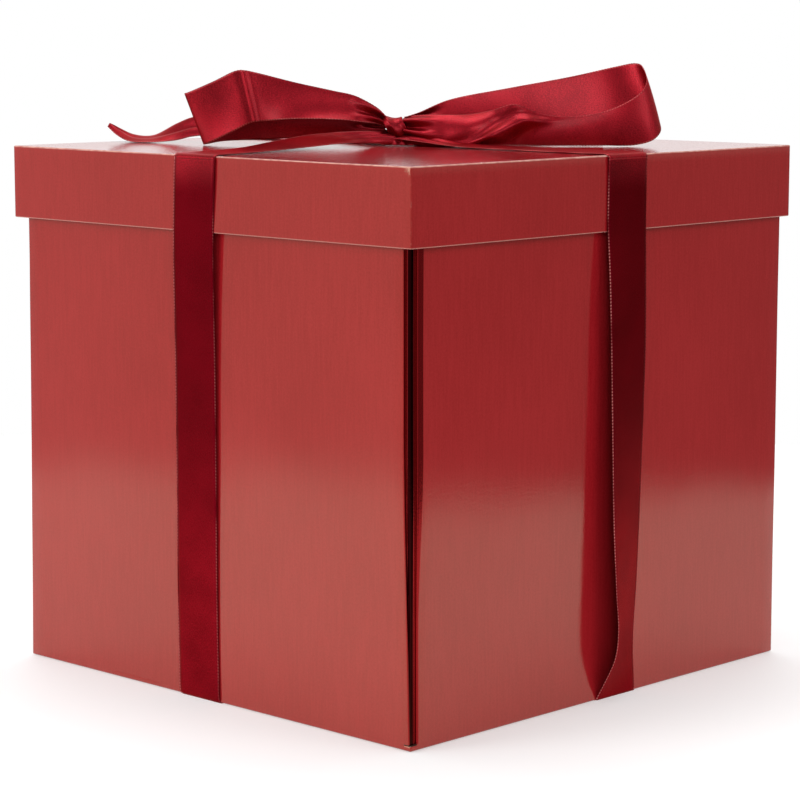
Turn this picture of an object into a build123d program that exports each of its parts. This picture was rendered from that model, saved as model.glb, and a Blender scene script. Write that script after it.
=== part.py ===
"""Lift-off-lid gift box of wrapped greyboard, tied both ways with a satin ribbon and a bow.

The origin is the centre of the underside, +Z is up and the sizes are in millimetres.
Front is -Y, right is +X, back is +Y and left is -X.
"""
from build123d import *
import os

# driving dimensions
BOX_WIDTH = 250.0        # square plan over the wrapped walls
TOTAL_HEIGHT = 242.0     # floor to the top of the lid
LID_WIDTH = 256.0        # square plan over the wrapped rim
LID_DEPTH = 33.2         # height of the lid's rim
RIBBON_WIDTH = 26.0
PAPER = 0.25             # wrapping and lining paper with its glue
BASE_THICK = 2.0         # greyboard of the base
WALL_THICK = 2.5         # greyboard of the walls
LID_THICK = 1.75         # greyboard of the lid
CORNER_NOTCH = 4.2       # how far each wall stops short of the outer corner
HINGE_LEG = 12.0         # each leg of the paper hinge strips
SLIP = 0.1               # gap between pieces that lie against each other
WRAP_ROUND = 0.5         # rounding of the wrapped edges
STRAP_THICK = 0.3        # ribbon that is pressed flat under the box
FALL_THICK = 0.5         # ribbon that hangs or lies free
FALL_CLEAR = 0.3         # gap between the lid and the ribbon round it
FRONT_FALL_X = -4.0      # middle of the ribbon that goes over the front and the back
SIDE_FALL_Y = 8.0        # middle of the ribbon that goes over the two sides
FALL_GAP = 0.8           # gap between a fall and the strap under the box
BOW_TURN = 44.0          # the loops lie along this direction in plan, in degrees from +X
LOOP_THICK = 1.2         # soft solid of a ribbon loop

# heights and reaches that follow from them
half_box = BOX_WIDTH / 2
half_lid = LID_WIDTH / 2
base_low = STRAP_THICK
board_low = base_low + PAPER
base_high = board_low + BASE_THICK
floor_high = base_high + PAPER
lid_low = TOTAL_HEIGHT - LID_DEPTH
lid_board_high = TOTAL_HEIGHT - PAPER
lid_board_low = lid_board_high - LID_THICK
lid_liner_low = lid_board_low - PAPER
wall_high = lid_liner_low - SLIP
wall_low = base_high + SLIP
wall_half_length = half_box - CORNER_NOTCH
wall_inner = half_box - PAPER - WALL_THICK
rim_outer = half_lid - PAPER
rim_inner = rim_outer - LID_THICK
fall_inner = half_lid + FALL_CLEAR
fall_outer = fall_inner + FALL_THICK
band_low = TOTAL_HEIGHT + 0.15
half_ribbon = RIBBON_WIDTH / 2
SIDES = {"front": 0, "right": 90, "back": 180, "left": 270}

parts = {}


def block(x, y, z):
    """Box between two limits along each axis."""
    size = [high - low for low, high in (x, y, z)]
    middle = [(high + low) / 2 for low, high in (x, y, z)]
    return Pos(*middle) * Box(*size)


def turned(shape, degrees):
    """The shape turned about the vertical axis."""
    return Rot(0, 0, degrees) * shape


def make_base():
    """Square greyboard, the paper tray that wraps it from below, and the lining between the hinges."""
    inner = half_box - PAPER
    board = block((-inner, inner), (-inner, inner), (board_low, base_high))
    tray = block((-half_box, half_box), (-half_box, half_box), (base_low, base_high))
    tray = fillet(tray.edges().filter_by(Axis.Z), WRAP_ROUND)
    lining_half = wall_inner - HINGE_LEG - SLIP
    parts["base_board"] = board
    parts["base_wrap"] = tray - board
    parts["base_liner"] = block((-lining_half, lining_half), (-lining_half, lining_half), (base_high, floor_high))


def make_walls():
    """Four separate wall panels: greyboard, outer wrap round three edges, lining and hinge strip."""
    board_half = wall_half_length - PAPER
    liner_high = wall_high - PAPER
    strip_high = floor_high + HINGE_LEG
    strip_half = wall_inner - HINGE_LEG - SLIP
    inner_face = wall_inner - PAPER
    board = block((-board_half, board_half), (-half_box + PAPER, -wall_inner), (wall_low, liner_high))
    panel = block(
        (-wall_half_length, wall_half_length), (-half_box, -wall_inner), (wall_low, wall_high)
    )
    outer_edges = panel.edges().filter_by(Axis.Z).group_by(Axis.Y)[0]
    wrap = fillet(outer_edges, WRAP_ROUND) - board
    liner = block((-board_half, board_half), (-wall_inner, -inner_face), (strip_high + SLIP, liner_high))
    upright = block((-strip_half, strip_half), (-wall_inner, -inner_face), (base_high, strip_high))
    flat = block(
        (-strip_half, strip_half), (-wall_inner, -wall_inner + HINGE_LEG), (base_high, floor_high)
    )
    strip = upright + flat
    for side, degrees in SIDES.items():
        parts[f"wall_board_{side}"] = turned(board, degrees)
        parts[f"wall_wrap_{side}"] = turned(wrap, degrees)
        parts[f"wall_liner_{side}"] = turned(liner, degrees)
        parts[f"hinge_strip_{side}"] = turned(strip, degrees)


def make_lid():
    """Top board, four rim boards butted at the corners, the outer wrap and the linings."""
    rim_high = lid_board_low
    board_low_edge = lid_low + PAPER
    liner_inner = rim_inner - PAPER
    parts["lid_top_board"] = block(
        (-rim_outer, rim_outer), (-rim_outer, rim_outer), (lid_board_low, lid_board_high)
    )
    shell = block((-half_lid, half_lid), (-half_lid, half_lid), (lid_low, TOTAL_HEIGHT))
    upright_edges = shell.edges().filter_by(Axis.Z)
    top_edges = shell.edges().group_by(Axis.Z)[-1]
    shell = fillet(upright_edges + top_edges, WRAP_ROUND)
    core = block((-rim_outer, rim_outer), (-rim_outer, rim_outer), (board_low_edge, lid_board_high))
    mouth = block((-rim_inner, rim_inner), (-rim_inner, rim_inner), (lid_low - 1, board_low_edge + 1))
    parts["lid_wrap"] = shell - core - mouth
    lining_half = liner_inner - SLIP
    parts["lid_liner"] = block(
        (-lining_half, lining_half), (-lining_half, lining_half), (lid_liner_low, lid_board_low)
    )
    for side, degrees in SIDES.items():
        long_rim = side in ("front", "back")
        reach = rim_outer if long_rim else rim_inner
        liner_reach = rim_inner if long_rim else liner_inner
        rim = block((-reach, reach), (-rim_outer, -rim_inner), (board_low_edge, rim_high))
        liner = block((-liner_reach, liner_reach), (-rim_inner, -liner_inner), (lid_low, lid_board_low))
        parts[f"lid_rim_board_{side}"] = turned(rim, degrees)
        parts[f"lid_rim_liner_{side}"] = turned(liner, degrees)


def make_straps():
    """The ribbon that is pressed flat under the box: one length through, two lengths up to it."""
    low_x = FRONT_FALL_X - half_ribbon
    high_x = FRONT_FALL_X + half_ribbon
    side_y = (SIDE_FALL_Y - half_ribbon, SIDE_FALL_Y + half_ribbon)
    thick = (0, STRAP_THICK)
    parts["ribbon_under_long"] = block((low_x, high_x), (-fall_outer, fall_outer), thick)
    parts["ribbon_under_left"] = block((-fall_outer, low_x - SLIP), side_y, thick)
    parts["ribbon_under_right"] = block((high_x + SLIP, fall_outer), side_y, thick)


def make_falls_and_bands():
    """For each side, the ribbon that hangs down the wall and the ribbon that crosses the lid."""
    band_start = 12.5        # the bands end here, at the crossing under the knot
    start_half = 6.0         # they are gathered to this half width there
    start_low = 245.9        # and are lifted to this height
    landing = 60.0           # they lie on the lid beyond this distance
    fall_low = STRAP_THICK + FALL_GAP
    band_high = band_low + FALL_THICK
    profile = Polyline(
        (-band_start, start_low),
        (-landing, band_low),
        (-fall_inner + SLIP, band_low),
        (-fall_inner + SLIP, band_high),
        (-landing, band_high),
        (-band_start, start_low + FALL_THICK),
        close=True,
    )
    side_view = extrude(Plane.YZ * make_face(profile), amount=half_lid, both=True)
    shifts = {"front": FRONT_FALL_X, "right": SIDE_FALL_Y, "back": -FRONT_FALL_X, "left": -SIDE_FALL_Y}
    for side, degrees in SIDES.items():
        shift = shifts[side]
        outline = Polyline(
            (-start_half, -band_start),
            (shift - half_ribbon, -landing),
            (shift - half_ribbon, -fall_inner + SLIP),
            (shift + half_ribbon, -fall_inner + SLIP),
            (shift + half_ribbon, -landing),
            (start_half, -band_start),
            close=True,
        )
        plan = extrude(make_face(outline), amount=TOTAL_HEIGHT + 20)
        fall = block(
            (shift - half_ribbon, shift + half_ribbon), (-fall_outer, -fall_inner), (fall_low, band_high)
        )
        parts[f"ribbon_band_{side}"] = turned(plan & side_view, degrees)
        parts[f"ribbon_fall_{side}"] = turned(fall, degrees)


def strand(path, outline):
    """Upright ribbon: a band of even thickness along a plan path, cut to an outline seen from the side.

    Both are given in the bow's own frame, where X runs along the bow from the middle of the lid.
    """
    band = extrude(trace(path, line_width=LOOP_THICK), amount=TOTAL_HEIGHT * 2)
    side_view = extrude(Plane.XZ * make_face(Polyline(*outline, close=True)), amount=half_box, both=True)
    return turned(band & side_view, BOW_TURN)


def make_bow():
    """The crossing under the knot, the knot, two loops in three lengths each, and two tails."""
    crossing_high = 247.3
    crossing = Pos(0, 0, (band_low + crossing_high) / 2) * Cylinder(12.2, crossing_high - band_low)
    parts["ribbon_crossing"] = fillet(crossing.edges().group_by(Axis.Z)[-1], 2.0)
    knot = Pos(-3.9, 0, 251.8) * Box(10.0, 11.0, 8.8)
    parts["bow_knot"] = turned(fillet(knot.edges(), 3.4), BOW_TURN)
    parts["bow_loop_left_front"] = strand(
        ThreePointArc((-9.3, -2.5), (-40, -11), (-70.5, -14)),
        [(-9.3, 252.6), (-26, 253.7), (-52, 254.7), (-69.2, 253.4), (-75.5, 277),
         (-47, 270), (-26.5, 265.5), (-14, 261), (-9.3, 257)],
    )
    parts["bow_loop_left_end"] = strand(
        Polyline((-72.5, -14), (-98, -4), (-90, 3)),
        [(-70, 252.5), (-92.8, 242.3), (-101.6, 265.8), (-76.5, 277)],
    )
    parts["bow_loop_left_back"] = strand(
        ThreePointArc((-88.5, 4.5), (-50, 7), (-9.3, 2.5)),
        [(-88.5, 243.4), (-65, 244.5), (-10, 249.2), (-9.3, 256), (-40, 264), (-88.5, 270)],
    )
    parts["bow_loop_right_front"] = strand(
        ThreePointArc((1.5, -2.5), (50, -11), (98, -9)),
        [(1.5, 248.4), (13, 247.2), (23, 246.6), (32, 242.4), (98, 242.4), (98, 259.5), (79, 255.6),
         (64, 256.5), (51, 261.2), (34, 256.5), (1.5, 255.8)],
    )
    parts["bow_loop_right_end"] = strand(
        ThreePointArc((99, -9), (119, -0.5), (99, 8)),
        [(98, 242.4), (108.6, 242.4), (118.8, 247.7), (121, 252), (112.5, 279.8), (98, 277)],
    )
    parts["bow_loop_right_back"] = strand(
        ThreePointArc((98, 8.2), (50, 9), (1.5, 2.5)),
        [(1.5, 249.4), (30, 244.4), (98, 242.6), (98, 277), (50.6, 268), (21.4, 262.6), (1.5, 256)],
    )
    parts["bow_tail_left"] = strand(
        Polyline((-12, 7), (-122, 32), (-137, 34)),
        [(-12, 248.5), (-40, 245.6), (-95, 244), (-122, 242.6), (-129, 243.4), (-140, 253),
         (-120, 246), (-92, 256.5), (-50, 254), (-12, 253)],
    )
    parts["bow_tail_right"] = strand(
        Polyline((5, 8), (40, 19), (76, 30)),
        [(5, 248.2), (20, 247.2), (40, 242.6), (78, 242.6), (68, 250), (20, 252), (5, 252)],
    )


make_base()
make_walls()
make_lid()
make_straps()
make_falls_and_bands()
make_bow()

os.makedirs("parts", exist_ok=True)
for name, shape in parts.items():
    export_step(shape, f"parts/{name}.step")
print(len(parts), "pieces")
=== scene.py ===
"""Looks of the lift-off-lid gift box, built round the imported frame.

Metres, +Z up, front is -Y and right is +X. Lengths that are easier to read in millimetres carry "* MM".
"""
import math
import bpy
import numpy as np
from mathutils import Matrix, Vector


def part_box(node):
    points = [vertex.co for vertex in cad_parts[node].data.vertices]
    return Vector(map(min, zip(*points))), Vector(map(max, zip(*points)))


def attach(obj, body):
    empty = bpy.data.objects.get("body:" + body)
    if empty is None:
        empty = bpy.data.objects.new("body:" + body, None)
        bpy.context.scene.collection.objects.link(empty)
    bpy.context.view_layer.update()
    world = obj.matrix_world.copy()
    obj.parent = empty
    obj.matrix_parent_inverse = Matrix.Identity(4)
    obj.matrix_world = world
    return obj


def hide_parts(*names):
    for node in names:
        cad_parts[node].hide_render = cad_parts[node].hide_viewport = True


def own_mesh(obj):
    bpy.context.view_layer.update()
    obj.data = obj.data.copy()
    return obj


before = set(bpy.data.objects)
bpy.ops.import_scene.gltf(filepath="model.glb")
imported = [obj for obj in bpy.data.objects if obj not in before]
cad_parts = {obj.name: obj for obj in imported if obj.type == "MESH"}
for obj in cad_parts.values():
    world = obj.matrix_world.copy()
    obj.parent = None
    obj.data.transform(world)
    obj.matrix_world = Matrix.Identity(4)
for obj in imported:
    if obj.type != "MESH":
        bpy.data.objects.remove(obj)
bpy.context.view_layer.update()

MM = 0.001
SIDES = {"front": 0, "right": 90, "back": 180, "left": 270}
# How far each wall's left and right ends, seen from outside, reach past its half length: the outer half
# of its thickness, then the inner half. At the back corners the side walls cover the back wall's butted
# ends. At the front corners the outer halves stand open, and a lip on the front wall's inner half closes
# the gap from behind.
BUTT, COVER, LIP = 1.35 * MM, 4.1 * MM, 2.6 * MM
WALL_ENDS = {
    "front": ((0, 0), (LIP, LIP)),
    "right": ((0, COVER), (BUTT, COVER)),
    "back": ((BUTT, BUTT), (BUTT, BUTT)),
    "left": ((COVER, 0), (COVER, BUTT)),
}
# How far the left and right ends spread at the base, and the height below which they start to.
WALL_FLARE = {
    "front": ((4.1 * MM, 260 * MM), (3.0 * MM, 130 * MM)),
    "right": ((0.4 * MM, 110 * MM), (0, 110 * MM)),
    "back": ((0, 110 * MM), (0, 110 * MM)),
    "left": ((0, 110 * MM), (0, 110 * MM)),
}

# sizes read from the frame
lid_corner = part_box("lid_wrap")[1]
lid_half, lid_top, lid_bottom = lid_corner.x, lid_corner.z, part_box("lid_wrap")[0].z
rim_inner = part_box("lid_rim_board_right")[0].x
wall_half_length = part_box("wall_wrap_front")[1].x
wall_outer, wall_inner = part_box("wall_wrap_right")[1].x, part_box("wall_wrap_right")[0].x
wall_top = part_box("wall_wrap_front")[1].z
base_low, base_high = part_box("base_wrap")[0].z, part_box("base_wrap")[1].z
strap_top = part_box("ribbon_under_long")[1].z
front_fall_x = (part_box("ribbon_fall_front")[0].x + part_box("ribbon_fall_front")[1].x) / 2
right_fall_y = (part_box("ribbon_fall_right")[0].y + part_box("ribbon_fall_right")[1].y) / 2
ribbon_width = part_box("ribbon_fall_front")[1].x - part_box("ribbon_fall_front")[0].x

# how the pieces are made
CLOTH = 0.3 * MM          # thickness of the satin
PICOT_PITCH = 1.4 * MM    # spacing of the tiny loops along the ribbon's woven edge
FINE_STEPS = 40           # steps for each control while a curve is measured
ARC_EXCESS = 2.67         # a shallow arc of rise b on a chord s is longer by this many (b / s) squared
BOW_TURN = math.radians(44)   # the loops lie along this direction in plan, from +X


# ---------------------------------------------------------------- surfaces

def smooth_step(x, low, high):
    """0 below low, 1 above high and the cubic 3t^2 - 2t^3 between them."""
    t = np.clip((x - low) / (high - low), 0, 1)
    return t * t * (3 - 2 * t)


def ripple(a, b, seed, waves=6):
    """A gentle random surface: a sum of plane waves with fixed random directions and phases, about -1 to 1.

    a and b are coordinates in units of the longest wave.
    """
    rng = np.random.default_rng(seed)
    total = np.zeros(np.broadcast(a, b).shape)
    for k in range(waves):
        turn, phase = rng.uniform(0, 2 * math.pi, 2)
        rate = 2 * math.pi * (1 + 0.45 * k)
        total += np.sin(rate * (a * math.cos(turn) + b * math.sin(turn)) + phase) / (1 + k)
    return total / 1.8


def turn_about_z(points, angle):
    """Points turned about the vertical axis."""
    c, s = math.cos(angle), math.sin(angle)
    return points @ np.array([[c, s, 0], [-s, c, 0], [0, 0, 1]])


def distance_along(points):
    """How far along a row of points each one is."""
    return np.concatenate([[0], np.cumsum(np.linalg.norm(np.diff(points, axis=0), axis=1))])


def spline(controls, count):
    """A smooth curve through the controls, as count rows an even distance apart.

    It is a Catmull-Rom curve whose parameter is the square root of the chord, read finely and then
    resampled along its length. Distance is measured on the first three columns.
    """
    chord = np.sqrt(np.linalg.norm(np.diff(controls[:, :3], axis=0), axis=1))
    knots = np.concatenate([[0], np.cumsum(chord)])
    slope = np.diff(controls, axis=0) / chord[:, None]
    tangent = np.empty_like(controls)
    tangent[0], tangent[-1] = slope[0], slope[-1]
    before, after = chord[:-1, None], chord[1:, None]
    tangent[1:-1] = (slope[:-1] * after + slope[1:] * before) / (before + after)
    fine = np.linspace(0, knots[-1], FINE_STEPS * len(controls))
    i = np.clip(np.searchsorted(knots, fine, side="right") - 1, 0, len(chord) - 1)
    t = ((fine - knots[i]) / chord[i])[:, None]
    span = chord[i][:, None]
    curve = (
        (2 * t**3 - 3 * t**2 + 1) * controls[i]
        + (t**3 - 2 * t**2 + t) * span * tangent[i]
        + (3 * t**2 - 2 * t**3) * controls[i + 1]
        + (t**3 - t**2) * span * tangent[i + 1]
    )
    gone = distance_along(curve[:, :3])
    even = np.linspace(0, gone[-1], count)
    return np.stack([np.interp(even, gone, column) for column in curve.T], axis=1)


def make_object(name, vertices, faces, material, uv=None, smooth=True):
    """A mesh object at the origin from plain arrays; uv is one pair for each vertex."""
    mesh = bpy.data.meshes.new(name)
    mesh.from_pydata(np.asarray(vertices, float).tolist(), [], [list(map(int, face)) for face in faces])
    if uv is not None:
        layer = mesh.uv_layers.new(name="cloth")
        corner = np.empty(len(mesh.loops), dtype=np.int32)
        mesh.loops.foreach_get("vertex_index", corner)
        layer.data.foreach_set("uv", np.asarray(uv, float)[corner].ravel())
    mesh.polygons.foreach_set("use_smooth", [smooth] * len(mesh.polygons))
    mesh.validate()
    mesh.materials.append(material)
    piece = bpy.data.objects.new(name, mesh)
    bpy.context.collection.objects.link(piece)
    return piece


def grid_faces(rows, columns, wrap=False):
    """Quads between neighbouring rows of a grid; with wrap, the last column joins the first."""
    across = columns if wrap else columns - 1
    row, column = np.meshgrid(np.arange(rows - 1), np.arange(across), indexing="ij")
    here, right = row * columns + column, row * columns + (column + 1) % columns
    return np.stack([here, right, right + columns, here + columns], axis=-1).reshape(-1, 4)


def rings_to_object(name, rings, material, uv=None):
    """A closed shell from rings of equal length, one above the other, with a flat face on each end."""
    levels, count = rings.shape[:2]
    faces = grid_faces(levels, count, wrap=True).tolist()
    first = list(range(count))[::-1]
    last = list(range((levels - 1) * count, levels * count))
    return make_object(name, rings.reshape(-1, 3), faces + [first, last], material, uv)


def rounded_ring(half_x, half_y, radius, side_steps=40, corner_steps=5):
    """A rounded rectangle, anticlockwise, as corner centres and outward directions.

    A point of the outline is its centre plus the radius times its direction.
    """
    inner = np.array([half_x - radius, half_y - radius])
    centres, directions = [], []
    signs = [(1, 1), (-1, 1), (-1, -1), (1, -1)]
    for quarter, sign in enumerate(signs):
        angle = np.linspace(0, math.pi / 2, corner_steps) + quarter * math.pi / 2
        directions.append(np.stack([np.cos(angle), np.sin(angle)], axis=1))
        centres.append(np.repeat([inner * sign], corner_steps, axis=0))
        following = signs[(quarter + 1) % 4]
        t = np.linspace(0, 1, side_steps + 1)[1:-1, None]
        centres.append(inner * sign * (1 - t) + inner * following * t)
        directions.append(np.repeat(directions[-1][-1:], side_steps - 1, axis=0))
    return np.concatenate(centres), np.concatenate(directions)


# ---------------------------------------------------------------- shaders

class Value:
    """A number, vector or colour in a node tree. Arithmetic on it adds Math nodes."""

    def __init__(self, nodes, socket):
        self.nodes, self.socket = nodes, socket

    def math(self, operation, *others):
        """A Math node on this value and the others, in that order."""
        return self.nodes.node("ShaderNodeMath", {"operation": operation}, self, *others)

    def __add__(self, other):
        return self.math("ADD", other)

    def __sub__(self, other):
        return self.math("SUBTRACT", other)

    def __rsub__(self, other):
        return self.nodes.node("ShaderNodeMath", {"operation": "SUBTRACT"}, other, self)

    def __mul__(self, other):
        return self.math("MULTIPLY", other)

    __radd__ = __add__
    __rmul__ = __mul__

    def step(self, low, high):
        """0 below low and 1 above high, smooth between; low may be the larger."""
        settings = {"interpolation_type": "SMOOTHSTEP"}
        return self.nodes.node("ShaderNodeMapRange", settings, self, low, high, 0.0, 1.0)


class Nodes:
    """The nodes of one tree."""

    def __init__(self, tree):
        self.tree = tree

    def put(self, value, socket):
        """Links a Value to an input, or sets the input to a constant."""
        if isinstance(value, Value):
            self.tree.links.new(value.socket, socket)
        else:
            socket.default_value = value

    def node(self, kind, settings, *values, output=0, **named):
        """Adds a node: its settings, then its inputs in order and by name.

        None leaves an input as it is.
        """
        made = self.tree.nodes.new(kind)
        for key, setting in settings.items():
            setattr(made, key, setting)
        for socket, value in zip(made.inputs, values):
            if value is not None:
                self.put(value, socket)
        for name, value in named.items():
            self.put(value, made.inputs[name])
        return Value(self, made.outputs[output])

    def split(self, vector):
        """The three parts of a vector."""
        made = self.node("ShaderNodeSeparateXYZ", {}, vector).socket.node
        return [Value(self, made.outputs[k]) for k in range(3)]


class Paint(Nodes):
    """The nodes of one material, which feed its Principled shader."""

    def __init__(self, name, **constants):
        self.material = bpy.data.materials.new(name)
        self.material.use_nodes = True
        super().__init__(self.material.node_tree)
        self.shader = self.tree.nodes["Principled BSDF"]
        for socket, value in constants.items():
            self.feed(socket.replace("_", " "), value)

    def feed(self, socket, value):
        """Links or sets one input of the Principled shader."""
        self.put(value, self.shader.inputs[socket])

    def scaled(self, vector, scale):
        """A vector times scale, part by part."""
        return self.node("ShaderNodeVectorMath", {"operation": "MULTIPLY"}, vector, scale)

    def place(self, scale=(1, 1, 1)):
        """Object coordinates, in metres, times scale."""
        return self.scaled(self.node("ShaderNodeTexCoord", {}, output=3), scale)

    def noise(self, where, scale, detail=2.0, roughness=0.5):
        """Smooth noise from 0 to 1."""
        return self.node("ShaderNodeTexNoise", {}, where, None, scale, detail, roughness)

    def mix(self, factor, *colours):
        """A colour between two colours. The node's colour inputs follow five for other kinds of value."""
        ends = [end if isinstance(end, Value) else (*end, 1) for end in colours]
        return self.node("ShaderNodeMix", {"data_type": "RGBA"}, factor, *[None] * 5, *ends, output=2)

    def bump(self, height, distance):
        """Feeds the Normal with a height in units of distance."""
        self.feed("Normal", self.node("ShaderNodeBump", {}, Strength=1.0, Distance=distance, Height=height))


def laminated_paper(name, lid=False):
    """Red printed paper under a gloss film: faint upright grain and an orange-peel bump.

    The lid's edges are painted pale, partly as rubbed wear and partly as a painted highlight along its
    folds, and there is dust on top. At the near corner the walls' turned-in ends are painted as shade in a
    darker, metallic red, with a painted highlight along their inner edge, and the lip that closes the slit
    and the base's ledge at its foot are painted nearly black as shade.
    """
    paint = Paint(name, IOR=1.58, Specular_Tint=(1.0, 1.0, 0.66, 1))
    where = paint.place()
    x, y, z = paint.split(where)
    grain = paint.noise(paint.place((1100, 1100, 70)), 1.0, 3.0)
    cloud = paint.noise(where, 14.0, 3.0)
    speck = paint.noise(where, 1000.0, 2.0, 0.7)
    tone = 0.30 * grain + 0.25 * cloud + 0.45 * speck
    colour = paint.mix(tone.step(0.36, 0.64), (0.285, 0.007, 0.011), (0.350, 0.012, 0.017))
    peel = paint.noise(where, 420.0, 2.0)
    gloss = 0.06 + 0.05 * cloud + 0.04 * peel
    # the larger and the smaller of the distances from the two middle planes
    reach = x.math("ABSOLUTE").math("MAXIMUM", y.math("ABSOLUTE"))
    inner = x.math("ABSOLUTE").math("MINIMUM", y.math("ABSOLUTE"))
    if lid:
        edge_top = reach.step(lid_half - 0.7 * MM, lid_half - 0.1 * MM)
        edge_top = edge_top * z.step(lid_top - 0.8 * MM, lid_top - 0.3 * MM)
        edge_low = z.step(lid_bottom + 0.7 * MM, lid_bottom + 0.1 * MM)
        edge_low = edge_low * reach.step(lid_half - 0.7 * MM, lid_half)
        edge_side = inner.step(lid_half - 0.8 * MM, lid_half - 0.2 * MM)
        edge_side = edge_side * paint.noise(where, 330.0, 4.0).step(0.50, 0.75)
        rubbed = 0.5 + 0.5 * paint.noise(where, 220.0, 4.0).step(0.35, 0.65)
        # pale edges: partly rubbed wear, partly a painted highlight along the top and lower folds
        wear_and_highlight = 0.75 * edge_top * rubbed + 0.35 * edge_low + 0.12 * edge_side
        colour = paint.mix(wear_and_highlight, colour, (0.80, 0.45, 0.38))
        dust = paint.noise(where, 700.0, 1.0).step(0.760, 0.79)
        dust = dust * z.step(lid_top - 0.4 * MM, lid_top - 0.2 * MM)
        colour = paint.mix(0.8 * dust, colour, (0.85, 0.74, 0.68))
    else:
        near = y.step(0, -50 * MM) * x.step(0, 50 * MM)
        # painted shade at the near corner, on the turned-in ends: a darker band on the right wall's face,
        # which narrows downwards, and both inner ends
        shade_band_zone = x.step(wall_outer - 0.9 * MM, wall_outer - 0.5 * MM) * y.step(-100 * MM, -105 * MM)
        shade_band_spread = 2.8 * MM * shade_band_zone * z.step(50 * MM, 125 * MM)
        band = shade_band_zone * (inner + shade_band_spread).step(wall_half_length - 0.7 * MM, wall_half_length - 0.2 * MM)
        end = inner.step(wall_half_length - 0.7 * MM, wall_half_length - 0.2 * MM)
        end = end * reach.step(wall_outer - 0.2 * MM, wall_outer - 0.4 * MM)
        turned = end.math("MAXIMUM", band)
        turned = turned * near * z.step(base_high + 0.2 * MM, base_high + 0.6 * MM)
        # the painted shade: a darker red
        colour = paint.mix(turned, colour, (0.27, 0.005, 0.009))
        # painted shade, nearly black: the lip behind the slit, and the base's ledge at its foot
        behind = inner.step(wall_half_length + 0.9 * MM, wall_half_length + 1.2 * MM)
        behind = behind * near * reach.step(wall_outer - 0.6 * MM, wall_outer - 1.1 * MM)
        ledge = z.step(base_high - 0.3 * MM, base_high - 0.1 * MM)
        ledge = ledge * z.step(base_high + 0.4 * MM, base_high + 0.2 * MM)
        corner = inner.step(wall_half_length, wall_half_length + 0.4 * MM) * ledge * near
        # both painted nearly black as shade
        colour = paint.mix(behind.math("MAXIMUM", corner), colour, (0.022, 0.001, 0.002))
        paint.feed("Metallic", behind.math("MAXIMUM", 0.85 * turned))
        # a painted highlight: a pale line along the inner edge of the shaded ends
        inner_edge_highlight = turned * reach.step(wall_inner + 0.55 * MM, wall_inner + 0.2 * MM)
        colour = paint.mix(0.6 * inner_edge_highlight, colour, (0.66, 0.22, 0.20))
        gloss = gloss + 0.9 * corner
    paint.feed("Base Color", colour)
    paint.feed("Roughness", gloss)
    paint.bump(0.4 * peel + 0.6 * speck, 0.048 * MM)
    return paint.material


def satin(name):
    """Deep red satin: the warp floats run along the ribbon, with a fine woven edge of small loops.

    Below the lid's edge it is painted darker, as shade, and has no coat; near the base a painted reflection
    of the table lightens it again.
    """
    tint = (0.9, 0.1, 0.2, 1)
    paint = Paint(name, Metallic=0.84, Specular_IOR_Level=0.30, Specular_Tint=tint, Coat_Roughness=0.28)
    uv = paint.node("ShaderNodeUVMap", {"uv_map": "cloth"})
    across, along, _ = paint.split(uv)
    where = paint.place()
    edge = (across - 0.5).math("ABSOLUTE")
    selvedge = edge.step(0.470, 0.482)
    picot_glints = across.step(0.030, 0.016)
    loops = (along * (2 * math.pi * ribbon_width / PICOT_PITCH)).math("SINE")
    threads = paint.noise(paint.scaled(uv, (110.0, 24.0, 1.0)), 1.0, 2.0, 0.6)
    weave = paint.noise(paint.scaled(uv, (48.0, 40.0, 1.0)), 1.0, 2.0, 0.7)
    cloud = paint.noise(where, 45.0, 3.0)
    tone = 0.30 * threads + 0.45 * weave + 0.25 * cloud
    lit_satin = paint.mix(tone.step(0.42, 0.58), (0.17, 0.0020, 0.0065), (0.35, 0.0085, 0.0175))
    shaded_satin = paint.mix(tone.step(0.38, 0.62), (0.11, 0.0004, 0.0040), (0.17, 0.0012, 0.0070))
    _, _, z = paint.split(where)
    # painted shade: the shaded colour below the lid's edge, the lit one above it
    above = z.step(lid_top - 17 * MM, lid_top - 2 * MM)
    colour = paint.mix(above, shaded_satin, lit_satin)
    paint.feed("Coat Weight", 0.16 * above)
    # painted reflection of the table: lighter towards the base
    colour = paint.mix(0.5 * z.step(135 * MM, 30 * MM), colour, lit_satin)
    # painted highlight: pale glints on the small loops of both woven edges, weaker on the high edge
    picot_glints = (picot_glints + 0.35 * across.step(0.972, 0.984)) * (loops * 0.5 + 0.5) * cloud.step(0.3, 0.6)
    colour = paint.mix(0.75 * picot_glints, colour, (0.80, 0.28, 0.26))
    paint.feed("Base Color", colour)
    paint.feed("Roughness", 0.22 + 0.14 * threads + 0.10 * weave + 0.16 * selvedge)
    paint.bump(0.3 * threads + 0.7 * weave + 0.15 * selvedge * loops, 0.13 * MM)
    return paint.material


def lining_paper(name):
    """Matt uncoated paper dyed deep red, with fibres."""
    paint = Paint(name)
    where = paint.place()
    fibre = 0.6 * paint.noise(where, 900.0, 3.0, 0.7) + 0.4 * paint.noise(where, 60.0, 3.0)
    paint.feed("Base Color", paint.mix(fibre.step(0.3, 0.7), (0.20, 0.016, 0.015), (0.27, 0.026, 0.024)))
    paint.feed("Roughness", 0.62 + 0.2 * fibre)
    paint.bump(fibre, 0.03 * MM)
    return paint.material


def greyboard(name):
    """Grey recycled board with darker flecks."""
    paint = Paint(name)
    where = paint.place()
    fleck = paint.noise(where, 1100.0, 3.0, 0.7)
    cloud = paint.noise(where, 80.0, 3.0)
    tone = 0.7 * fleck + 0.3 * cloud
    paint.feed("Base Color", paint.mix(tone.step(0.3, 0.7), (0.26, 0.24, 0.21), (0.46, 0.43, 0.38)))
    paint.feed("Roughness", 0.8 + 0.15 * fleck)
    paint.bump(tone, 0.08 * MM)
    return paint.material


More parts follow.
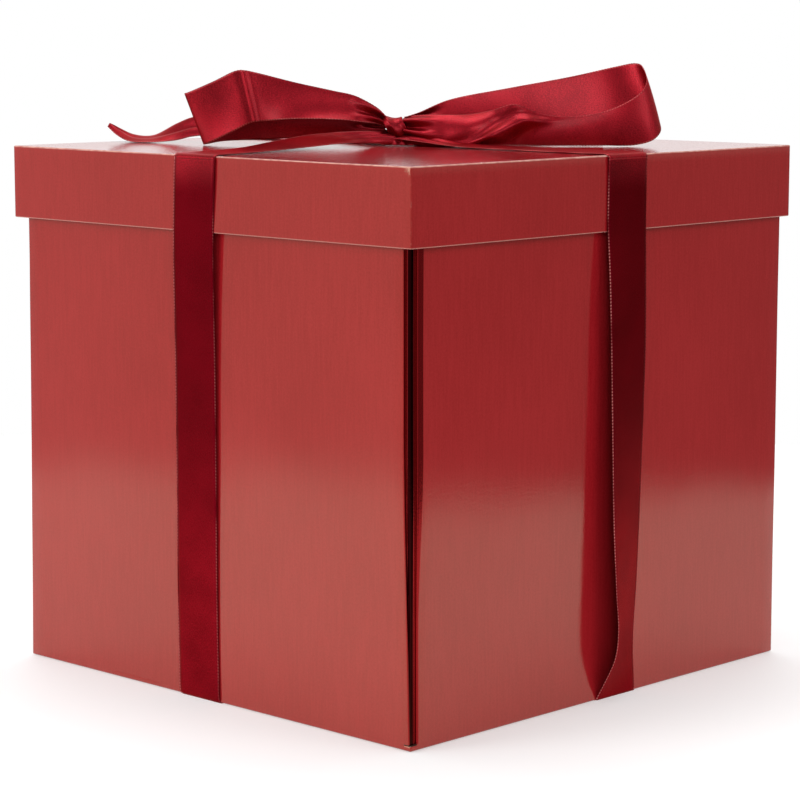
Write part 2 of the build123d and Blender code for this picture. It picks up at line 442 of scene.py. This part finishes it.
wall_paper = laminated_paper("laminated_red_walls")
lid_paper = laminated_paper("laminated_red_lid", lid=True)
ribbon_satin = satin("satin_red")
lining = lining_paper("lining_paper_red")
board = greyboard("greyboard")


def finish_frame_nodes():
    """Every frame node gets its finish, whether it shows or a new surface stands for it."""
    for name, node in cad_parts.items():
        if "board" in name:
            finish = board
        elif "liner" in name or "hinge" in name:
            finish = lining
        elif "wrap" in name:
            finish = wall_paper
        else:
            finish = ribbon_satin
        node.data.materials.clear()
        node.data.materials.append(finish)


# ---------------------------------------------------------------- box

def make_wall(side, degrees, seed, ends, flares):
    """A wrapped panel: a rounded rectangle in plan, carried upwards, its upright edges slightly curved.

    The left and right ends move out by ends, and by at least their flare times a power of how far they are
    below the flare's height. The faces carry a ripple of a tenth of a millimetre.
    """
    radius = 0.6 * MM
    half_thick = (wall_outer - wall_inner) / 2
    low, high = strap_top + 0.1 * MM, wall_top
    centres, directions = rounded_ring(wall_half_length, half_thick, radius)
    turn = np.linspace(0, math.pi / 2, 5)
    bottom = [(radius * (1 - math.sin(t)), low + radius * (1 - math.cos(t))) for t in turn]
    middle = [(0.0, z) for z in np.linspace(low + radius, high - radius, 48)[1:-1]]
    top = [(radius * (1 - math.cos(t)), high - radius * (1 - math.sin(t))) for t in turn]
    rings = []
    for inset, z in bottom + middle + top:
        plan = centres + directions * (radius - inset)
        left_flare, right_flare = (flare * max(0, 1 - z / height) ** 1.2 for flare, height in flares)
        outer, inner = (np.where(plan[:, 0] < 0, left, right) for left, right in ends)
        reach = outer + (inner - outer) * smooth_step(plan[:, 1], 0, 0.3 * MM)
        reach = np.maximum(reach, np.where(plan[:, 0] < 0, left_flare, right_flare))
        share = smooth_step(np.abs(plan[:, 0]), 0.9 * wall_half_length, wall_half_length)
        plan[:, 0] += np.sign(plan[:, 0]) * reach * share
        rings.append(np.column_stack([plan[:, 0], plan[:, 1], np.full(len(plan), z)]))
    points = np.array(rings)
    points[..., 1] += 0.10 * MM * ripple(points[..., 0] / 0.13, points[..., 2] / 0.13, seed)
    points[..., 1] -= (wall_outer + wall_inner) / 2
    piece = rings_to_object(f"wall_cover_{side}", turn_about_z(points, math.radians(degrees)), wall_paper)
    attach(piece, "box")
    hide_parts(f"wall_wrap_{side}")


def make_base_tray():
    """The wrapped edge and underside of the base: a rounded square carried upwards by its own thickness."""
    radius = 0.5 * MM
    half = wall_outer - 0.05 * MM
    centres, directions = rounded_ring(half, half, 0.6 * MM)
    turn = np.linspace(0, math.pi / 2, 4)
    levels = [(radius * (1 - math.sin(t)), base_low + radius * (1 - math.cos(t))) for t in turn]
    levels += [(0.0, base_high - 0.2 * MM), (0.3 * MM, base_high + 0.1 * MM)]
    rings = []
    for inset, z in levels:
        plan = centres + directions * (0.6 * MM - inset)
        rings.append(np.column_stack([plan, np.full(len(plan), z)]))
    piece = rings_to_object("base_tray", np.array(rings), wall_paper)
    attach(piece, "box")
    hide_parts("base_wrap")


def make_floor_lining():
    """The lining of the base, turned up round its edge: a closed profile carried round a rounded square."""
    lining_thick = 0.25 * MM
    floor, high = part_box("base_liner")[0].z + 0.05 * MM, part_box("hinge_strip_front")[1].z
    half = wall_inner - 0.05 * MM
    spread = np.linspace(6 * MM, half, 12)
    profile = [(out, floor) for out in spread]
    profile += [(half, z) for z in np.linspace(floor, high, 5)[1:]]
    profile += [(half - lining_thick, z) for z in np.linspace(high, floor + 1.2 * MM, 5)]
    profile += [(half - 0.6 * MM, floor + 0.5 * MM), (half - 1.4 * MM, floor + lining_thick)]
    profile += [(out, floor + lining_thick) for out in spread[-2::-1]]
    rings = []
    for out, z in profile:
        radius = min(0.8 * MM, out / 2)
        centres, directions = rounded_ring(out, out, radius, side_steps=24, corner_steps=4)
        plan = centres + directions * radius
        rings.append(np.column_stack([plan, np.full(len(plan), z)]))
    piece = rings_to_object("floor_lining", np.array(rings), lining)
    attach(piece, "box")
    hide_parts("base_liner", *(f"hinge_strip_{side}" for side in SIDES))


# ---------------------------------------------------------------- lid

def make_lid_cover():
    """The lid's paper, from its turned-in lower edge, up the rim and over the top to the middle.

    It is a profile of half widths and heights carried round a rounded square, and the top carries a
    ripple of a tenth of a millimetre.
    """
    edge = 0.55 * MM
    turn = np.linspace(0, math.pi / 2, 6)
    profile = [(rim_inner, lid_bottom + 16 * MM), (rim_inner, lid_bottom + 0.5 * MM)]
    fold = 0.5 * MM
    profile += [(rim_inner + fold * (1 - math.cos(t)), lid_bottom + fold * (1 - math.sin(t))) for t in turn]
    profile += [(lid_half - fold * (1 - math.sin(t)), lid_bottom + fold * (1 - math.cos(t))) for t in turn]
    profile += [(lid_half, z) for z in np.linspace(lid_bottom + fold, lid_top - edge, 9)[1:]]
    profile += [(lid_half - edge * (1 - math.cos(t)), lid_top - edge * (1 - math.sin(t))) for t in turn[1:]]
    profile += [(lid_half - edge - inset * MM, lid_top) for inset in (0.6, 1.5, 3, 5, 8, 13, 20)]
    profile += [(half, lid_top) for half in np.linspace(lid_half - 30 * MM, 6 * MM, 14)]
    corner = 0.75 * MM
    rings = []
    for half, z in profile:
        radius = min(corner, half / 2)
        centres, directions = rounded_ring(half, half, radius, side_steps=64, corner_steps=6)
        plan = centres + directions * radius
        rings.append(np.column_stack([plan, np.full(len(plan), z)]))
    points = np.array(rings)
    x, y, z = points[..., 0], points[..., 1], points[..., 2]
    points[..., 2] += 0.10 * MM * ripple(x / 0.16, y / 0.16, 5) * smooth_step(z, lid_top - 1 * MM, lid_top)
    piece = rings_to_object("lid_cover", points, lid_paper)
    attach(piece, "lid")
    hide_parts("lid_wrap")


# ---------------------------------------------------------------- ribbon

def thicken(piece):
    """Gives a surface the satin's thickness, half to each side."""
    solid = piece.modifiers.new("cloth", "SOLIDIFY")
    solid.thickness, solid.offset = CLOTH, 0.0


def turn_rows(rows, angle):
    """Rows whose low-edge and high-edge points are turned about the vertical axis."""
    for k in (0, 3):
        rows[:, k:k + 3] = turn_about_z(rows[:, k:k + 3], angle)
    return rows


def ribbon(
    name, rows, nodes,
    gather=None, both_ends=False, columns=15, body="ribbon", fold=None,
):
    """A length of ribbon through control rows, as a thin closed sheet.

    Each row is a low-edge point, a high-edge point and a bulge, in metres. The rows are joined by a smooth
    curve, a row's points run straight from edge to edge plus the bulge times 4w(1 - w) along the surface's
    normal, and the woven edge adds half waves of a tenth of a millimetre. gather is (folds, reach, least):
    sine pleats just deep enough to take up the width that the rows don't show, fading to the least share
    over reach from the first row, or from both ends.
    fold is (start, slant, breadth, height): a Gaussian ridge across the ribbon, and after it a shallower
    one the other way.
    """
    rows = np.asarray(rows, float)
    middle = (rows[:, :3] + rows[:, 3:6]) / 2
    length = np.linalg.norm(np.diff(middle, axis=0), axis=1).sum()
    count = max(24, int(length / (PICOT_PITCH / 3)))
    curve = spline(np.column_stack([middle, rows]), count)
    centre, low, high, bulge = curve[:, :3], curve[:, 3:6], curve[:, 6:9], curve[:, 9:10]
    gone = distance_along(centre)
    forward = np.gradient(centre, axis=0)
    width = high - low
    unit = width / np.linalg.norm(width, axis=1, keepdims=True)
    normal = np.cross(forward, unit)
    normal /= np.linalg.norm(normal, axis=1, keepdims=True)
    w = np.linspace(0, 1, columns)
    lift = bulge * 4 * w * (1 - w)
    if gather:
        folds, reach, least = gather
        shown = np.linalg.norm(width, axis=1, keepdims=True)
        taken = np.maximum(ribbon_width / shown - 1 - ARC_EXCESS * (bulge / shown) ** 2, 0)
        depth = shown / (math.pi * folds) * np.sqrt(taken)
        fade = least + (1 - least) * (1 - smooth_step(gone, 0, reach))[:, None]
        if both_ends:
            fade = np.maximum(fade, fade[::-1])
        lift = lift + depth * fade * np.sin(2 * math.pi * folds * w + 1.1 + 0.6 * gone[:, None] / reach)
    if fold:
        start, slant, breadth, height = fold
        q = (gone[:, None] - start - slant * w) / breadth
        window = smooth_step(w, 0, 0.15) * (1 - smooth_step(w, 0.65, 0.95))
        lift = lift + height * window * (np.exp(-q**2) - 0.35 * np.exp(-(q - 1.7) ** 2))
    points = low[:, None] + width[:, None] * w[:, None] + normal[:, None] * lift[..., None]
    picot = 0.12 * MM * np.abs(np.sin(math.pi * gone / PICOT_PITCH))[:, None] * unit
    points[:, 0] -= picot
    points[:, -1] += picot
    uv = np.stack(np.broadcast_arrays(w, gone[:, None] / ribbon_width), axis=-1)
    faces = grid_faces(count, columns)
    piece = make_object(name, points.reshape(-1, 3), faces, ribbon_satin, uv.reshape(-1, 2))
    thicken(piece)
    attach(piece, body)
    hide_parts(*nodes)
    return piece


def upright_rows(stations, degrees, shift):
    """Rows of a fall on one side.

    Each station is (height, distance out, sideways shift, twist in degrees), in mm.
    """
    rows = []
    for height, out, slide, twist in stations:
        c, s = math.cos(math.radians(twist)), math.sin(math.radians(twist))
        half = ribbon_width / 2 * np.array([c, s, 0])
        middle = np.array([shift + slide * MM, -out * MM, height * MM])
        rows.append([*(middle - half), *(middle + half), 0])
    return turn_rows(np.array(rows), math.radians(degrees))


FALLS = {
    "front": [(240.4, 128.75, 3.0, 0), (232, 128.8, 2.6, 0), (200, 127.9, 0.6, 0), (150, 126.6, -0.3, 0),
              (100, 126.1, -0.8, 0), (50, 125.9, -1.2, 0), (15, 125.7, -1, 0), (2, 125.6, -0.8, 0),
              (0.5, 125.1, -0.8, 0), (0.18, 124.2, -0.8, 0)],
    "right": [(240.4, 128.9, -0.5, 0), (232, 128.7, -0.5, 0), (212, 128.7, -0.6, 0), (190, 129.6, -0.6, 2),
              (160, 130.4, -0.6, 4), (125, 130.5, -0.6, 8), (80, 130.5, -0.6, 14), (50, 130.6, -0.3, 20),
              (32, 130.6, -0.2, 24.5), (20, 129.8, -0.6, 22), (8, 127.3, -1, 9), (2, 125.7, -1, 1),
              (0.5, 125.1, -1, 0), (0.18, 124.2, -1, 0)],
    "back": [(240.4, 128.75, -2, 0), (225, 128.7, -1.6, 0), (170, 127.6, 0.2, 0), (100, 126.6, 0.8, 0),
             (40, 126.2, 0.4, 0), (3, 125.7, 0.2, 0), (0.5, 125.1, 0.2, 0), (0.18, 124.2, 0.2, 0)],
    "left": [(240.4, 128.75, 2, 0), (225, 129, 1.6, 0), (170, 128.3, 0.4, 2), (100, 127.4, -0.4, 3),
             (40, 126.6, -0.2, 1), (3, 125.7, 0, 0), (0.5, 125.1, 0, 0), (0.18, 124.2, 0, 0)],
}
SHIFTS = {"front": front_fall_x, "right": right_fall_y, "back": -front_fall_x, "left": -right_fall_y}


def make_falls():
    """The ribbon that hangs down each wall, from the lid's edge to the base."""
    for side, degrees in SIDES.items():
        rows = upright_rows(FALLS[side], degrees, SHIFTS[side])
        piece = ribbon(f"fall_{side}", rows, [f"ribbon_fall_{side}"])
        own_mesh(piece)


# Each station is (distance from the middle, the low edge's slide and height, the high edge's slide and
# height), in mm, seen from outside that wall: the low edge is on the left.
BANDS = {
    "front": [(2, -7, 247.8, 9, 243.6), (9, -5.5, 247.4, 4.5, 243.8), (20, -8, 247.9, 1, 244.4),
              (42, -12, 247.9, 5, 244.4), (64, -13.4, 245.6, 8, 243.6), (86, -13.8, 243.2, 10.4, 243.0),
              (108, -12.6, 242.6, 12.4, 242.6), (122, -11, 242.5, 15, 242.5),
              (126.6, -10, 242.45, 16, 242.45), (128.0, -10, 242.0, 16, 242.0),
              (128.6, -10, 241.4, 16, 241.4), (128.75, -10, 240.4, 16, 240.4)],
    "right": [(2, -9, 244.0, 5, 246.6), (9, -8, 243.6, 5, 246.0), (24, -8.5, 243.0, 7.5, 243.8),
              (48, -11.5, 242.6, 10.5, 242.8), (80, -13.3, 242.5, 12.7, 242.5),
              (110, -13.5, 242.45, 12.5, 242.5), (126.6, -13.5, 242.45, 12.5, 242.45),
              (128.0, -13.5, 242.1, 12.5, 242.1), (128.75, -13.5, 241.4, 12.5, 241.4),
              (128.9, -13.5, 240.4, 12.5, 240.4)],
    "back": [(9, -5, 245.5, 5, 244.5), (24, -8, 243.8, 8, 243.0), (48, -12, 242.7, 11, 242.6),
             (80, -14, 242.5, 12, 242.5), (110, -15, 242.45, 11, 242.5),
             (126.6, -15, 242.45, 11, 242.45), (128.0, -15, 242.0, 11, 242.0),
             (128.6, -15, 241.4, 11, 241.4), (128.75, -15, 240.4, 11, 240.4)],
    "left": [(9, -5, 245.2, 5, 244.6), (24, -8, 243.5, 8, 243.2), (48, -11, 242.7, 12, 242.6),
             (80, -12, 242.5, 14, 242.5), (110, -11, 242.45, 15, 242.5),
             (126.6, -11, 242.45, 15, 242.45), (128.0, -11, 242.0, 15, 242.0),
             (128.6, -11, 241.4, 15, 241.4), (128.75, -11, 240.4, 15, 240.4)],
}


def make_bands():
    """The ribbon across the lid, from the crossing under the knot to the lid's edge and round it."""
    for side, degrees in SIDES.items():
        rows = []
        for out, low_slide, low_z, high_slide, high_z in BANDS[side]:
            fade = min(1.0, out / 60)
            shift = SHIFTS[side] * fade
            low_edge = [shift + low_slide * MM, -out * MM, low_z * MM]
            high_edge = [shift + high_slide * MM, -out * MM, high_z * MM]
            rows.append([*low_edge, *high_edge, 0])
        rows = turn_rows(np.array(rows), math.radians(degrees))
        gather = (2.5, 45 * MM, 0.0)
        ribbon(f"band_{side}", rows, [f"ribbon_band_{side}"], gather)


def bow_rows(stations):
    """Rows in the bow's own frame, turned into place: (low edge s, d, z, high edge s, d, z, bulge), in mm.

    s runs along the bow, d away to the back and z up.
    """
    return turn_rows(np.asarray(stations, float) * MM, BOW_TURN)


LEFT_LOOP = [
    (-7.5, -1.5, 250.6, -7.0, -1.0, 255.0, 0.5), (-12, -3.0, 252.4, -11.5, -1.0, 259.6, 1.5),
    (-20, -6.5, 253.4, -20.5, -1.0, 264.4, 1.6), (-34, -10.0, 254.5, -33, -3.0, 267.4, 1.6),
    (-50, -12.5, 254.7, -50, -6.5, 271.2, 1.0), (-62, -13.6, 253.9, -66, -10.6, 275.4, 0.3),
    (-65.8, -13.9, 253.6, -71.2, -11.7, 276.6, 0), (-67.6, -15.0, 253.4, -73.2, -12.9, 276.9, 0),
    (-69.0, -14.1, 253.2, -74.8, -12.0, 277.0, 0), (-71.4, -13.7, 252.4, -77.6, -11.7, 276.4, 0),
    (-80, -9.9, 248.0, -87, -7.9, 271.9, 0.6),
    (-91, -3.6, 242.9, -99.4, -2.2, 266.6, 0), (-92.7, -1.5, 242.5, -101.4, -0.4, 265.9, 0),
    (-91.6, 1.2, 242.5, -99.8, 2.4, 266.1, 0), (-84, 4.5, 243.7, -88, 6.5, 267.9, 0.6),
    (-65, 8.0, 244.4, -66, 11.0, 268.5, 2.0), (-42, 8.0, 245.6, -42, 10.5, 265.2, 2.0),
    (-22, 5.0, 247.2, -22, 6.5, 260.5, 1.0), (-8, 1.5, 248.6, -8, 2.0, 254.6, 0),
]
RIGHT_LOOP = [
    (0.5, 1.5, 249.6, 0.5, 1.2, 255.0, 0), (7, 3.0, 248.0, 7, 3.0, 257.0, 0.3),
    (21, 6.0, 244.8, 21, 7.0, 262.6, 0.6), (50, 8.0, 243.6, 50, 10.5, 268.2, 0.8),
    (79, 7.0, 247.6, 79, 13.0, 273.4, 0.4), (100, 6.0, 252.2, 99.4, 11.5, 278.0, -0.4),
    (112, 4.0, 254.0, 108.4, 7.0, 279.7, -0.2), (118.6, 0.5, 252.6, 111.3, 2.2, 278.2, -0.3),
    (119.6, -3.4, 248.9, 113.0, -1.6, 272.6, -0.4), (115.8, -8.0, 244.9, 110.8, -5.8, 267.4, -0.6),
    (107, -11.0, 242.6, 103.6, -9.6, 262.4, -0.8), (93, -12.4, 242.5, 92.5, -11.8, 257.9, -0.8),
    (78, -12.4, 242.5, 77.5, -11.4, 255.6, -1.0), (64, -12.4, 242.5, 63.5, -10.6, 256.9, -1.2),
    (52, -11.4, 242.5, 51.0, -11.0, 261.3, -1.0), (43, -14.0, 242.5, 41.5, -7.0, 258.4, -2.6),
    (31, -13.0, 242.5, 31, -5.0, 256.4, -3.0), (18, -8.0, 242.9, 19, -2.6, 256.1, -2.0),
    (8, -5.6, 244.0, 9, -1.6, 256.4, -1.4), (0.5, -3.2, 246.6, 0.5, -1.0, 255.6, -0.8),
]
RIGHT_FOLD = (212 * MM, -31 * MM, 6.5 * MM, -3.4 * MM)
LEFT_TAIL = [
    (-8, 3.0, 248.0, -8, 4.5, 253.0, 0), (-30, 10.0, 247.4, -30, 13.5, 255.0, 0.6),
    (-60, 16.0, 247.0, -60, 23.0, 254.6, 0.8), (-90, 19.5, 247.0, -90, 31.0, 253.6, 0.8),
    (-100, 20.5, 246.2, -100, 36.0, 252.6, 0.6), (-108, 21.0, 244.3, -108, 40.0, 249.6, 0.4),
    (-120, 21.5, 243.1, -120, 45.0, 244.0, 0.2), (-130, 26.0, 243.5, -130, 47.0, 244.1, 0.2),
    (-136, 33.0, 245.9, -136, 46.0, 246.3, 0), (-141.5, 40.5, 249.4, -141.5, 43.0, 249.9, 0),
]
RIGHT_TAIL = [
    (2, 4.0, 247.8, 2, 5.5, 252.6, 0), (18, 13.0, 245.0, 19, 15.0, 253.0, 0.8),
    (40, 20.0, 243.0, 42, 28.0, 249.6, 1.0), (60, 25.0, 242.6, 62, 44.0, 245.0, 1.0),
    (76, 29.0, 242.6, 80, 52.0, 243.8, 0.5), (96, 46.0, 243.2, 97, 49.0, 243.4, 0),
]


def make_bow():
    """Two loops and two tails. The loops are gathered at both ends; the right one has a slanting fold."""
    loops = [("left", LEFT_LOOP, 33, None), ("right", RIGHT_LOOP, 41, RIGHT_FOLD)]
    for hand, stations, columns, fold in loops:
        nodes = [f"bow_loop_{hand}_{part}" for part in ("front", "end", "back")]
        gather = (2.0, 21 * MM, 0.0)
        rows = bow_rows(stations)
        ribbon(f"loop_{hand}", rows, nodes, gather, True, columns, fold=fold)
    tails = [("left", LEFT_TAIL, (1.5, 60 * MM, 0.5)), ("right", RIGHT_TAIL, (1.5, 50 * MM, 0.6))]
    for hand, stations, gather in tails:
        nodes = [f"bow_tail_{hand}"]
        rows = bow_rows(stations)
        ribbon(f"tail_{hand}", rows, nodes, gather, columns=25)


def make_knot():
    """The wrap round the loops: a strip whose edges roll under, carried a little over once round.

    It goes round the bow's line. Across the strip the place along that line follows a sine of the roll and
    the radius a cosine, plus soft pleats. The place also leans with the sine of the turn.
    """
    along, across = 150, 65
    turns = np.linspace(0, 2.35 * math.pi, along)[:, None]
    w = np.linspace(0, 1, across)[None]
    roll = (2 * w - 1) * 2.7
    pleat = 1.3 * (0.55 - np.abs(np.sin(1.7 * roll + 0.8 * np.sin(turns) + 0.5))) * np.cos(roll / 2)
    radius = 3.3 + 1.1 * np.cos(roll) + pleat + 0.7 * turns / (2 * math.pi)
    s = -3.2 + 4.6 * np.sin(roll) - 1.9 * np.sin(turns)
    d = 1.1 * radius * np.cos(turns)
    z = 250.2 + 1.05 * radius * np.sin(turns)
    points = turn_about_z(np.stack(np.broadcast_arrays(s, d, z), axis=-1).reshape(-1, 3) * MM, BOW_TURN)
    uv = np.stack(np.broadcast_arrays(w, turns * 5 * MM / ribbon_width), axis=-1).reshape(-1, 2)
    piece = make_object("knot", points, grid_faces(along, across), ribbon_satin, uv)
    thicken(piece)
    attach(piece, "ribbon")
    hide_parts("bow_knot")


def make_crossing():
    """Where the bands cross under the knot: a low dome.

    Its radius is a cosine of the rise, with four broad lobes and fifteen fine ones; its height is a sine of
    the rise, with seven faint waves round it.
    """
    around, levels = 96, 16
    angle = np.linspace(0, 2 * math.pi, around + 1)[:-1][None]
    rise = np.linspace(0, 1, levels)[:, None]
    lobe = 1 + 0.10 * np.cos(4 * angle) + 0.08 * np.sin(15 * angle + 3 * rise)
    radius = 10.5 * lobe * np.cos(rise * math.pi / 2) ** 0.9 + 0.02
    height = 242.4 + 3.8 * np.sin(rise * math.pi / 2) * (1 + 0.05 * np.sin(7 * angle))
    x, y = radius * np.cos(angle), radius * np.sin(angle)
    points = np.stack(np.broadcast_arrays(x, y, height), axis=-1) * MM
    uv = np.stack(np.broadcast_arrays(rise, angle / 2), axis=-1).reshape(-1, 2)
    piece = rings_to_object("crossing", points, ribbon_satin, uv)
    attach(piece, "ribbon")
    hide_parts("ribbon_crossing")


def make_straps():
    """The ribbon pressed flat under the base."""
    z = strap_top / 2
    for name in ("long", "left", "right"):
        low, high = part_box(f"ribbon_under_{name}")
        if name == "long":
            rows = [[low.x, y, z, high.x, y, z, 0] for y in np.linspace(-wall_outer, wall_outer, 9)]
        else:
            ends = (max(low.x, -wall_outer), min(high.x, wall_outer))
            rows = [[x, low.y, z, x, high.y, z, 0] for x in np.linspace(*ends, 6)]
        ribbon(f"strap_{name}", rows, [f"ribbon_under_{name}"], body="box")


# ---------------------------------------------------------------- studio

LAMPS = {
    # place, aim, width of the disc (m), power (W)
    "overhead": ((-0.2, 0.1, 1.9), (0, 0, 0.1), 1.2, 14),
    "left_front": ((-0.7, -1.6, 0.7), (0, 0, 0.12), 1.0, 14),
    "right_side": ((1.7, 0.5, 1.0), (0, 0, 0.12), 1.0, 6),
    "front_high": ((1.15, -0.95, 1.05), (0, 0, 0.2), 0.6, 6),
}


def make_table():
    """A round white table, its middle a little to the left of the box's."""
    count, table_radius, table_x = 128, 0.665, -0.07
    angle = np.linspace(0, 2 * math.pi, count, endpoint=False)
    x, y = table_radius * np.cos(angle) + table_x, table_radius * np.sin(angle)
    rim = np.column_stack([x, y, np.zeros(count)])
    paint = Paint("table_white", Base_Color=(0.66, 0.66, 0.66, 1), Roughness=0.7, Emission_Strength=0.32)
    paint.feed("Emission Color", (1, 1, 1, 1))
    floor = make_object("floor", rim, [list(range(count))], paint.material, smooth=False)


def make_lamps():
    """Soft disc lamps: above, to the left and right, and in front."""
    for name, (place, aim, size, power) in LAMPS.items():
        light = bpy.data.lights.new(name, "AREA")
        light.shape, light.size, light.energy = "DISK", size, power
        lamp = bpy.data.objects.new(name, light)
        lamp.location = place
        lamp.rotation_mode = "QUATERNION"
        lamp.rotation_quaternion = Vector(np.subtract(aim, place)).to_track_quat("-Z", "Y")
        bpy.context.collection.objects.link(lamp)


def make_surroundings():
    """White surroundings: dim below, brighter above and to the back left, and even where seen directly."""
    world = bpy.data.worlds.new("studio")
    bpy.context.scene.world = world
    world.use_nodes = True
    world.node_tree.nodes.clear()
    nodes = Nodes(world.node_tree)
    where = nodes.node("ShaderNodeTexCoord", {})
    height = nodes.split(where)[2]

    def ramp(source, *values):
        """Goes from the third value to the fourth as the source goes from the first to the second."""
        return nodes.node("ShaderNodeMapRange", {}, source, *values)

    def facing(x, y):
        """The cosine between the direction and a level one."""
        dot = {"operation": "DOT_PRODUCT"}
        return nodes.node("ShaderNodeVectorMath", dot, where, (x, y, 0.0), output=1)

    to_back, to_front_left = facing(-0.7, 0.7), facing(-0.7, -0.7)
    above = ramp(to_back, 0.55, 0.9, ramp(to_back, -0.7, 0.6, 0.36, 0.9), 1.25)
    below = ramp(to_front_left, -0.9, 0.9, 0.20, 0.62)
    white = (1, 1, 1, 1)
    around = nodes.node("ShaderNodeBackground", {}, white, ramp(height, -0.04, 0.10, below, above))
    seen = nodes.node("ShaderNodeBackground", {}, white, 1.0)
    is_camera_ray = nodes.node("ShaderNodeLightPath", {})
    either = nodes.node("ShaderNodeMixShader", {}, is_camera_ray, around, seen)
    nodes.put(either, nodes.tree.nodes.new("ShaderNodeOutputWorld").inputs[0])


def make_camera():
    """A long lens that looks a little down on the corner between the front and right walls."""
    camera = bpy.data.cameras.new("camera")
    camera.lens, camera.sensor_width = 121.0, 36.0
    seat = bpy.data.objects.new("camera", camera)
    seat.location = (0.8723, -0.9043, 0.3014)
    seat.rotation_euler = (math.radians(90 - 8.12), 0, math.radians(44.03))
    bpy.context.collection.objects.link(seat)
    bpy.context.scene.camera = seat
    bpy.context.scene.view_settings.view_transform = "Standard"


finish_frame_nodes()
for number, (wall_side, wall_degrees) in enumerate(SIDES.items()):
    make_wall(wall_side, wall_degrees, 11 + number, WALL_ENDS[wall_side], WALL_FLARE[wall_side])
make_base_tray()
make_floor_lining()
make_lid_cover()
make_crossing()
make_knot()
make_bands()
make_falls()
make_bow()
make_straps()
make_table()
make_lamps()
make_surroundings()
make_camera()
